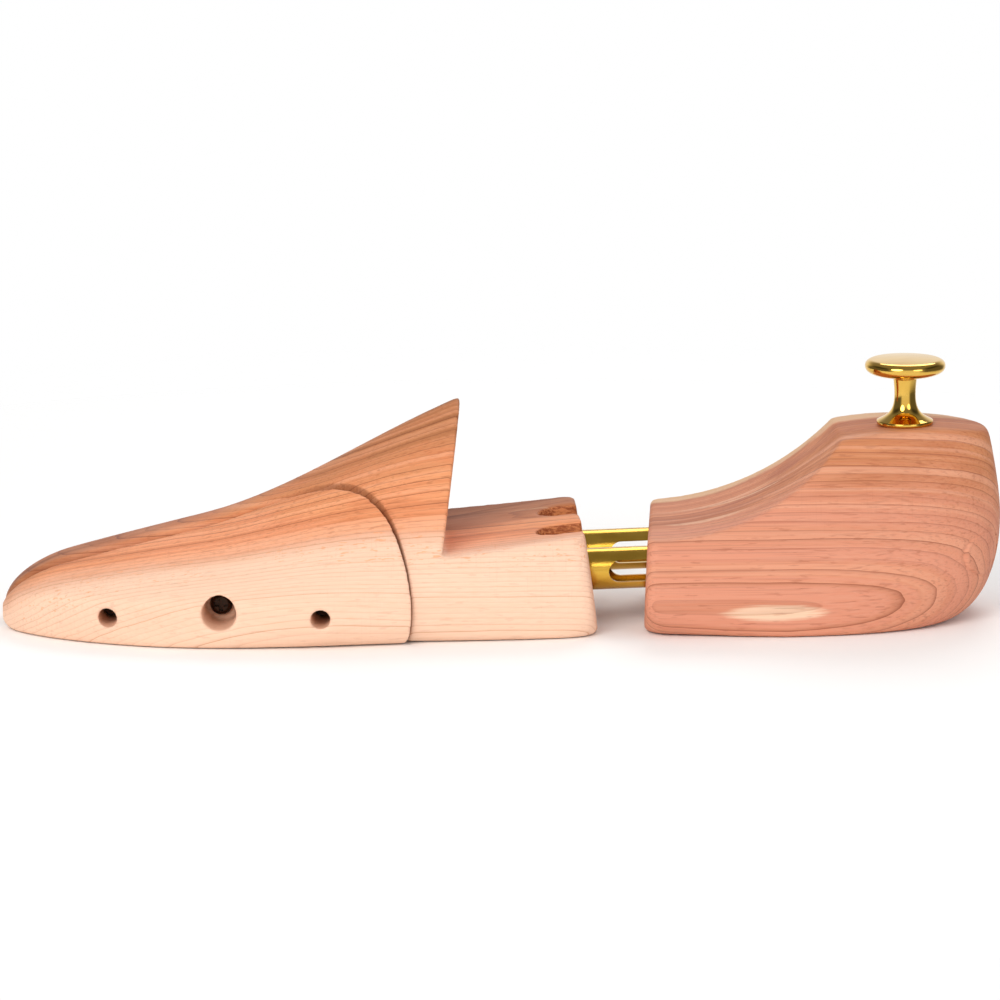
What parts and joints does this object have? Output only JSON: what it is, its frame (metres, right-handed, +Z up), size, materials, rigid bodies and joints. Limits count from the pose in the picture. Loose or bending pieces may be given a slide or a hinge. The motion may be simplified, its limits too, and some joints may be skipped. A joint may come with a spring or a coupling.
{
  "type": "shoe stretcher",
  "caption": "Wooden split-toe shoe stretcher with a sprung toe wing, two slotted brass tubes, a sprung heel block and a turned pull knob.",
  "frame": {"origin": "middle of the whole object's outline, on the flat sole, with the toe wing standing open as in the picture", "axes": "+X toward the heel, +Y to the side away from the toe wing, +Z up from the sole"},
  "size_m": [0.2877, 0.0862, 0.075],
  "materials": {
    "forepart_wood": "sanded, bare",
    "heel_wood": "sanded, bare",
    "brass": "bright, drawn",
    "polished_brass": "polished",
    "dark_steel": "blackened"
  },
  "bodies": {
    "forepart": {"forepart_block": "forepart_wood", "near_tube": "brass", "far_tube": "brass", "forepart_cross_pin": "brass", "front_guide_pin": "dark_steel", "rear_guide_pin": "dark_steel", "rear_locating_pin": "dark_steel", "tie_screw": "dark_steel", "wing_spring": "dark_steel", "near_tube_spring": "dark_steel", "far_tube_spring": "dark_steel"},
    "wing": {"toe_wing": "forepart_wood"},
    "heel": {"heel_block": "heel_wood", "heel_cross_pin": "brass", "knob": "polished_brass", "knob_screw": "dark_steel"}
  },
  "joints": [
    {"name": "wing_hinge", "type": "hinge", "parent": "forepart", "child": "wing", "pos_m": [0.0208, -0.0148, 0], "axis": [0, 0, 1], "range_deg": [-2.6, 0], "stiffness_Nm_per_rad": 15, "springref_deg": 2.86, "deforming": ["wing_spring"]},
    {"name": "heel_slide", "type": "slide", "parent": "forepart", "child": "heel", "axis": [0.9974, -0.0593, 0.0401], "range_m": [-0.0125, 0], "stiffness_N_per_m": 1200, "springref_m": 0.012, "deforming": ["near_tube_spring", "far_tube_spring"]}
  ]
}
